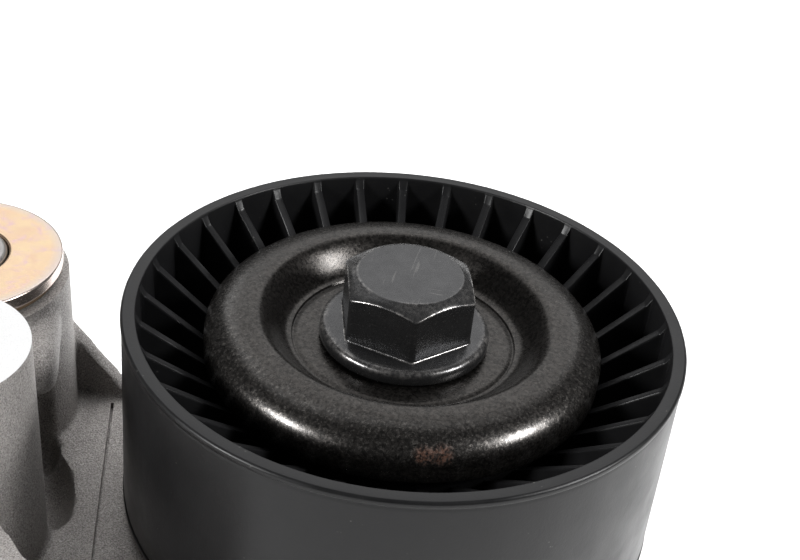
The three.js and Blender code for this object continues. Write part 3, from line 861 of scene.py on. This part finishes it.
def ellipsoid(work, centre, size, turn=0.0):
    place_and_turn = Matrix.Translation(Vector(centre) * MM) @ Matrix.Rotation(turn, 4, "Z")
    matrix = place_and_turn @ Matrix.Diagonal((*(Vector(size) * MM), 1))
    bmesh.ops.create_icosphere(work, subdivisions=4, radius=1, matrix=matrix)


def hollow_cutters():
    """The rounded hollow in the plate between the two columns, and the slot that rises from it."""
    hollow = bmesh.new()
    ellipsoid(hollow, HOLLOW, HOLLOW_SIZE, HOLLOW_TURN)
    slot = bmesh.new()
    ellipsoid(slot, SLOT, SLOT_SIZE)
    return [hollow, slot]


def cut_shell(piece, profile, axis=PIVOT_AXIS, columns=96, look=None):
    """Cuts one turned shape, alone, because overlapping shells in one cutter cancel each other."""
    work = bmesh.new()
    shell(work, profile, axis, columns)
    machine(piece, work, look)


def tensioner_arm():
    piece = arm_casting()
    facing = 20
    cut_shell(piece, [(16.5, PIVOT_TOP), (16.5, PIVOT_TOP + CUT)], look=CAST)
    cut_shell(piece, [(PIVOT_BORE, 5), (PIVOT_BORE, PIVOT_TOP + CUT)])
    cut_shell(piece, [(15, COLUMN_TOP), (15, COLUMN_TOP + CUT)], COLUMN)
    screw_hole = [(0.5, 43.9), (3.4, 45.5), (3.4, COLUMN_TOP - 0.7), (4.3, COLUMN_TOP + 0.2),
                  (4.3, COLUMN_TOP + CUT)]
    cut_shell(piece, screw_hole, COLUMN, 64)
    cut_shell(piece, [(facing, BOSS_FRONT), (facing, BOSS_FRONT + CUT)], PULLEY_AXIS)
    cut_shell(piece, [(facing, BOSS_BACK - CUT), (facing, BOSS_BACK)], PULLEY_AXIS)
    cut_shell(piece, [(BOLT_BORE, 10), (BOLT_BORE, 60)], PULLEY_AXIS, 64)
    machine(piece, parting_groove(), CAST)
    return place(piece, "arm", "cast_aluminium", [], "tensioner_arm")


def parting_groove():
    """The thin straight line in the plate's face, between the pivot and the pulley."""
    across = Vector((math.cos(GROOVE_ANGLE), math.sin(GROOVE_ANGLE)))
    along = Vector((-across.y, across.x))
    middle = across * GROOVE_REACH
    near, far = 0.5, -46
    corners = [middle + across * side + along * end for side, end in
               ((-GROOVE_HALF, near), (-GROOVE_HALF, far), (GROOVE_HALF, far), (GROOVE_HALF, near))]
    work = bmesh.new()
    slab(work, corners, FLOOR - GROOVE_DEPTH, FLOOR + 0.6)
    return work


tensioner_arm()


# ---------------------------------------------------------------- pivot
PIN_NOSE = 6.4
BUSH_BORE = 8.1


def pivot_washer():
    outer, low, high = turned_size("pivot_washer")
    hole = PIN_NOSE + 0.25
    profile = [(hole, low), (outer, low), (outer, high), (hole, high)]
    piece = turned("pivot_washer_stamping", rounded(profile, 0.35), columns=160)
    return place(piece, "base", "plated_steel", PLATED, "pivot_washer")


def pivot_shaft():
    body, low, high = turned_size("pivot_shaft")
    nose, shoulder = PIN_NOSE, 63.2
    outline = [(0, high - 0.1), (nose * 0.55, high - 0.06), (nose - 0.5, high), (nose, high - 0.5),
               (nose, shoulder), (body, shoulder), (body, low + 0.8), (body - 0.8, low), (0, low)]
    profile = rounded(outline, 0.25, closed=False)
    piece = turned("pivot_shaft_turning", profile, columns=128, closed=False)
    return place(piece, "base", "plain_steel", PLAIN, "pivot_shaft")


def round_piece(name, node, profile, body, slot, look, axis=PIVOT_AXIS, corner=0.2):
    piece = turned(name, rounded(profile, corner), axis, columns=128)
    return place(piece, body, slot, look, node)


def plain_ring(name, node, inner, body, slot, look, axis=PIVOT_AXIS):
    """A ring as large as its CAD node, with rounded corners."""
    low, high = box_mm(node)
    outer = (high.x - low.x) / 2
    profile = [(inner, low.z), (outer, low.z), (outer, high.z), (inner, high.z)]
    return round_piece(name, node, profile, body, slot, look, axis)


def pivot_bushes():
    low, high = box_mm("pivot_bush_upper")
    neck, flange, thick = 10.9, 13.3, 0.6
    profile = [(BUSH_BORE, low.z), (neck, low.z), (neck, high.z - thick), (flange, high.z - thick),
               (flange, high.z), (BUSH_BORE, high.z)]
    round_piece("pivot_bush_upper_turning", "pivot_bush_upper", profile, "arm", "bush_polymer", POLYMER,
                corner=0.15)
    plain_ring("pivot_bush_lower_turning", "pivot_bush_lower", BUSH_BORE, "arm", "bush_polymer", POLYMER)
    plain_ring("damper_sleeve_moulding", "damper_sleeve", 14.7, "arm", "bush_polymer", POLYMER)


pivot_washer()
pivot_shaft()
pivot_bushes()
plain_ring("thrust_washer_stamping", "thrust_washer", 8.4, "base", "plain_steel", PLAIN)
plain_ring("spring_seat_moulding", "spring_seat", 14, "base", "bush_polymer", POLYMER)
plain_ring("damping_ring_moulding", "damping_ring", 23.7, "base", "bush_polymer", POLYMER)


# ---------------------------------------------------------------- bearing
BEARING_FRONT, BEARING_BACK = 64.8, 52.8
BEARING_MIDDLE = (BEARING_FRONT + BEARING_BACK) / 2
# Radius of the balls' circle, radius of a ball, and how many there are.
PITCH, BALL, BALLS = 14.25, 3.375, 8
BEARING_OUTER, BEARING_BORE, OUTER_SHOULDER, INNER_SHOULDER = 20, 8.5, 16.9, 11.9


def race(side, shoulder):
    """The groove's points, from front to back: a circle a little larger than the ball."""
    reach = BALL + 0.25
    spread = math.acos(abs(shoulder - PITCH) / reach)
    return [(PITCH + side * reach * math.cos(a), BEARING_MIDDLE + reach * math.sin(a))
            for a in np.linspace(spread, -spread, 15)]


def bearing_ring(name, body, side, shoulder, wall):
    """A ring between its shoulder and its plain wall, with the balls' groove in the shoulder."""
    profile = [(shoulder, BEARING_FRONT), (wall, BEARING_FRONT), (wall, BEARING_BACK),
               (shoulder, BEARING_BACK)] + race(side, shoulder)[::-1]
    round_piece(name + "_grinding", name, profile, body, "bearing_steel", GROUND, PULLEY_AXIS, 0.3)


def bearing():
    bearing_ring("bearing_outer_ring", "pulley", 1, OUTER_SHOULDER, BEARING_OUTER)
    bearing_ring("bearing_inner_ring", "arm", -1, INNER_SHOULDER, BEARING_BORE)
    for end in ("front", "rear"):
        name = f"bearing_seal_{end}"
        plain_ring(name + "_moulding", name, 12.2, "pulley", "seal_rubber", RUBBER, PULLEY_AXIS)
    plain_ring("bearing_bush_turning", "bearing_bush", BOLT_BORE, "arm", "plain_steel", PLAIN, PULLEY_AXIS)


def bearing_balls():
    work = bmesh.new()
    for i in range(BALLS):
        angle = 2 * math.pi * i / BALLS
        spot = Vector((PULLEY_X + PITCH * math.cos(angle), PITCH * math.sin(angle), BEARING_MIDDLE)) * MM
        bmesh.ops.create_icosphere(work, subdivisions=4, radius=BALL * MM, matrix=Matrix.Translation(spot))
    mesh = bpy.data.meshes.new("bearing_balls")
    work.to_mesh(mesh)
    work.free()
    piece = finish_mesh("bearing_balls", mesh)
    place(piece, "ball_set", "bearing_steel", GROUND, *[f"bearing_ball_{i + 1}" for i in range(BALLS)])


def rear_shield():
    low, high = box_mm("rear_shield")
    rim, hub, sheet = 19.2, 12.2, 0.6
    profile = [(BOLT_BORE, low.z), (rim, low.z), (rim, low.z + sheet), (hub, low.z + sheet), (hub, high.z),
               (BOLT_BORE, high.z)]
    round_piece("rear_shield_stamping", "rear_shield", profile, "arm", "pressed_steel", PRESSED, PULLEY_AXIS)


bearing()
bearing_balls()
rear_shield()
for cage_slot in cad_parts["bearing_cage"].material_slots:
    cage_slot.material = CAGE


# ---------------------------------------------------------------- base
EAR_ANGLES = (-12, 108, 228)
EAR_REACH, EAR_RADIUS, EAR_HEIGHT, EAR_HOLE = 38.0, 9.0, 11.0, 4.25
CUP_OUTER, CUP_INNER, CUP_HEIGHT, CUP_FLOOR = 26.5, 23.5, 27.6, 4.0
# In degrees round the pivot: a post's width, the gap between lug and post, and the arm's swing.
POST_WIDTH, POST_GAP, SWING = 10, 0.8, 35
POST_STARTS = (STOP_ARM - STOP_HALF - POST_GAP - POST_WIDTH, STOP_ARM + STOP_HALF + POST_GAP + SWING)


def ear_centre(angle):
    turn = math.radians(angle)
    return (EAR_REACH * math.cos(turn), EAR_REACH * math.sin(turn))


def ear_outline(angle, grow):
    turn = math.radians(angle)
    centre = ear_centre(angle)
    tip = arc(centre, EAR_RADIUS + grow, angle - 90, angle + 90, 24)
    back = EAR_REACH - 16
    side = Vector((-math.sin(turn), math.cos(turn))) * (EAR_RADIUS + grow)
    root = Vector((math.cos(turn), math.sin(turn))) * back
    return tip + [tuple(root + side), tuple(root - side)]


def base_casting():
    work = bmesh.new()
    drum(work, CUP_OUTER + 0.2, CUP_OUTER - 0.1, -SPARE, CUP_HEIGHT + SPARE)
    for angle in EAR_ANGLES:
        slab(work, ear_outline(angle, -0.1), -SPARE, EAR_HEIGHT)
    for start in POST_STARTS:
        end = start + POST_WIDTH
        outline = arc(PIVOT_AXIS, STOP_OUTER, start, end, 10)
        slab(work, outline + arc(PIVOT_AXIS, CUP_OUTER - 2, end, start, 10), -SPARE, CUP_HEIGHT)
    return cast_body("tensioner_base_casting", work, 0.6, 4)


def tensioner_base():
    piece = base_casting()
    work = bmesh.new()
    shell(work, [(70, -10), (70, 0)], columns=64)
    shell(work, [(60, CUP_HEIGHT), (60, CUP_HEIGHT + 9)], columns=64)
    machine(piece, work)
    work = bmesh.new()
    shell(work, [(BUSH_BORE, 4.0), (BUSH_BORE, 10), (12.5, 10), (13.1, CUP_FLOOR), (CUP_INNER, CUP_FLOOR),
                 (CUP_INNER, CUP_HEIGHT + 5)], columns=128)
    machine(piece, work)
    seat = 8.4
    ear_hole = [(EAR_HOLE + 0.5, -1), (EAR_HOLE + 0.5, 0), (EAR_HOLE, 0.5), (EAR_HOLE, EAR_HEIGHT - 0.8),
                (seat, EAR_HEIGHT - 0.3), (seat, EAR_HEIGHT + 2)]
    for angle in EAR_ANGLES:
        cut_shell(piece, ear_hole, ear_centre(angle), 64)
    return place(piece, "base", "cast_aluminium_base", [], "tensioner_base")


tensioner_base()


# ---------------------------------------------------------------- spring
def torsion_spring():
    low, high = box_mm("torsion_spring")
    mean, wire, turns, pitch, start = 19.6, 2.38, 3.5, 5.0, 8.7
    steps, sides = 240, 20
    rows = []
    for t in np.linspace(0, 1, steps):
        angle = 2 * math.pi * turns * t
        middle = np.array([mean * math.cos(angle), mean * math.sin(angle), start + pitch * turns * t])
        out = np.array([math.cos(angle), math.sin(angle), 0])
        ahead = np.array([-math.sin(angle) * mean, math.cos(angle) * mean, pitch / (2 * math.pi)])
        ahead /= np.linalg.norm(ahead)
        up = np.cross(out, ahead)
        shrink = 1 - 0.12 * (t in (0, 1))
        around = np.linspace(0, 2 * math.pi, sides, endpoint=False)
        rows.append(middle + wire * shrink * (np.outer(np.cos(around), out) + np.outer(np.sin(around), up)))
    mesh = grid_mesh("torsion_spring_coil", rows, closed_rows=False, cap_start=True, cap_end=True)
    piece = finish_mesh("torsion_spring_coil", mesh)
    return place(piece, "base", "spring_steel", SPRING, "torsion_spring")


torsion_spring()


# ---------------------------------------------------------------- stage, light and camera
def stage():
    floor_look = bpy.data.materials.new("pale_floor")
    floor_look.use_nodes = True
    shader = floor_look.node_tree.nodes["Principled BSDF"]
    shader.inputs["Base Color"].default_value = (0.9, 0.9, 0.9, 1)
    shader.inputs["Roughness"].default_value = 0.9
    mesh = bpy.data.meshes.new("floor")
    reach = 6.0
    corners = [(-reach, -reach, 0), (reach, -reach, 0), (reach, reach, 0), (-reach, reach, 0)]
    mesh.from_pydata(corners, [], [(0, 1, 2, 3)])
    floor = bpy.data.objects.new("floor", mesh)
    mesh.materials.append(floor_look)
    floor.location.z = -0.0002
    bpy.context.scene.collection.objects.link(floor)


def area_light(name, place_mm, target_mm, size_mm, radiance):
    """A soft panel, seen in reflections but not by the camera."""
    data = bpy.data.lights.new(name, "AREA")
    data.shape = "RECTANGLE"
    data.size, data.size_y = size_mm[0] * MM, size_mm[1] * MM
    data.energy = radiance * data.size * data.size_y * math.pi
    light = bpy.data.objects.new(name, data)
    light.visible_camera = False
    light.location = Vector(place_mm) * MM
    aim = (Vector(target_mm) - Vector(place_mm)).normalized()
    light.rotation_euler = aim.to_track_quat("-Z", "Y").to_euler()
    bpy.context.scene.collection.objects.link(light)
    return light


def lights():
    pulley = (PULLEY_X, 0, PULLEY_FRONT)
    area_light("rear_box", (-80, 620, 520), pulley, (900, 460), 1.05)
    floor_panel = area_light("floor_panel", (120, 340, 400), (120, 340, 0), (1300, 600), 3.0)
    floor_panel.visible_glossy = False
    area_light("top_box", (-60, 307, 700), pulley, (800, 400), 0.8)
    area_light("left_box", (-364, -358, 295), pulley, (160, 120), 42)
    area_light("right_box", (573, -54, 379), pulley, (150, 140), 42)
    world = bpy.data.worlds.new("studio")
    world.use_nodes = True
    world.node_tree.nodes["Background"].inputs["Color"].default_value = (1, 1, 1, 1)
    world.node_tree.nodes["Background"].inputs["Strength"].default_value = 0.06
    bpy.context.scene.world = world
    bpy.context.scene.view_settings.view_transform = "Standard"


def camera():
    data = bpy.data.cameras.new("camera")
    data.lens = 64.35
    data.sensor_width = 36
    data.clip_start = 0.01
    target = Vector((PULLEY_X - 2.3, 6.7, PULLEY_FRONT)) * MM
    azimuth, elevation, roll = (math.radians(a) for a in (8.66, 33.41, 6.4))
    distance = 191.3 * MM
    back = Vector((math.sin(azimuth) * math.cos(elevation), -math.cos(azimuth) * math.cos(elevation),
                   math.sin(elevation)))
    level = Vector((0, 0, 1)).cross(back).normalized()
    upright = back.cross(level)
    right = level * math.cos(roll) + upright * math.sin(roll)
    up = back.cross(right)
    view = bpy.data.objects.new("camera", data)
    facing = Matrix((right, up, back)).transposed().to_4x4()
    view.matrix_world = Matrix.Translation(target + back * distance) @ facing
    bpy.context.scene.collection.objects.link(view)
    bpy.context.scene.camera = view


stage()
lights()
camera()
